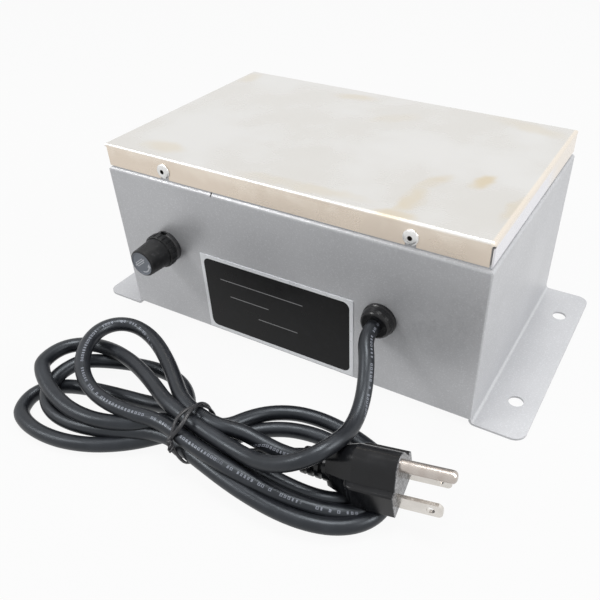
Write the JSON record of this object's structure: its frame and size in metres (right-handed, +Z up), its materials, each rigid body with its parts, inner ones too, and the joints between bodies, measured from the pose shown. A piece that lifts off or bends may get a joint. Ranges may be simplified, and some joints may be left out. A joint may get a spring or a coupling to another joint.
{
  "type": "plate demagnetizer",
  "caption": "Bench-top plate demagnetizer: sheet-steel box with flat stainless work plate, outward mounting feet, panel fuse holder and a tied mains cord with moulded plug.",
  "frame": {"origin": "centre of the four mounting holes, on the surface that the unit stands on", "axes": "+X along the long front wall, -Y the side with fuse holder and cord, +Z up out of the work plate"},
  "size_m": [0.227, 0.2177, 0.0875],
  "materials": {
    "silver_paint": "silver grey, finely textured",
    "stainless": "satin, non-magnetic stainless",
    "rivet_aluminium": "bright",
    "nameplate_print": "printed black with a white border",
    "zinc_steel": "zinc plated",
    "zinc_fastener": "zinc plated",
    "core_steel": "varnished sheet edges",
    "former_plastic": "natural nylon",
    "magnet_wire": "enamelled copper",
    "coil_tape": "polyester tape",
    "holder_plastic": "black",
    "cap_plastic": "black",
    "tinned_brass": "tinned",
    "spring_steel": "bright wire",
    "fuse_glass": "clear",
    "fuse_nickel": "nickel plated",
    "bushing_plastic": "black nylon",
    "cord_jacket": "black, satin",
    "tie_plastic": "black coated wire",
    "plug_plastic": "black, moulded",
    "blade_nickel": "nickel plated",
    "pin_nickel": "nickel plated brass",
    "brown_wire": "insulation",
    "blue_wire": "insulation",
    "green_wire": "insulation"
  },
  "bodies": {
    "housing": {"base_bolts": "zinc_fastener", "base_nuts": "zinc_fastener", "base_plate": "zinc_steel", "body_shell": "silver_paint", "coil_link": "blue_wire", "cord_hank": "cord_jacket", "cord_lead": "cord_jacket", "cord_plug_run": "cord_jacket", "cord_tail": "cord_jacket", "core_bolts": "zinc_fastener", "core_laminations": "core_steel", "core_nuts": "zinc_fastener", "cover_plate": "stainless", "cover_rivets": "rivet_aluminium", "earth_lug": "tinned_brass", "earth_nut": "zinc_fastener", "earth_screw": "zinc_fastener", "earth_wire": "green_wire", "end_terminal": "tinned_brass", "front_clamp": "zinc_steel", "fuse_holder": "holder_plastic", "fuse_holder_nut": "holder_plastic", "fuse_wire": "brown_wire", "left_former": "former_plastic", "left_tape": "coil_tape", "left_winding": "magnet_wire", "live_wire": "brown_wire", "nameplate": "nameplate_print", "neutral_wire": "blue_wire", "plug_blades": "blade_nickel", "plug_body": "plug_plastic", "plug_ground_pin": "pin_nickel", "rear_clamp": "zinc_steel", "right_former": "former_plastic", "right_tape": "coil_tape", "right_winding": "magnet_wire", "side_terminal": "tinned_brass", "strain_relief": "bushing_plastic", "twist_tie": "tie_plastic"},
    "fuse_carrier": {"fuse_tube": "fuse_glass", "fuse_end_caps": "fuse_nickel", "fuse_link": "spring_steel"},
    "fuse_cap": {"fuse_cap": "cap_plastic", "fuse_spring": "spring_steel"}
  },
  "joints": [
    {"name": "fuse_pull", "type": "slide", "parent": "housing", "child": "fuse_carrier", "axis": [0, -1, 0], "range_m": [0, 0.046]},
    {"name": "cap_turn", "type": "hinge", "parent": "fuse_carrier", "child": "fuse_cap", "pos_m": [-0.063, -0.0752, 0.043], "axis": [0, -1, 0], "range_deg": [0, 90]}
  ]
}
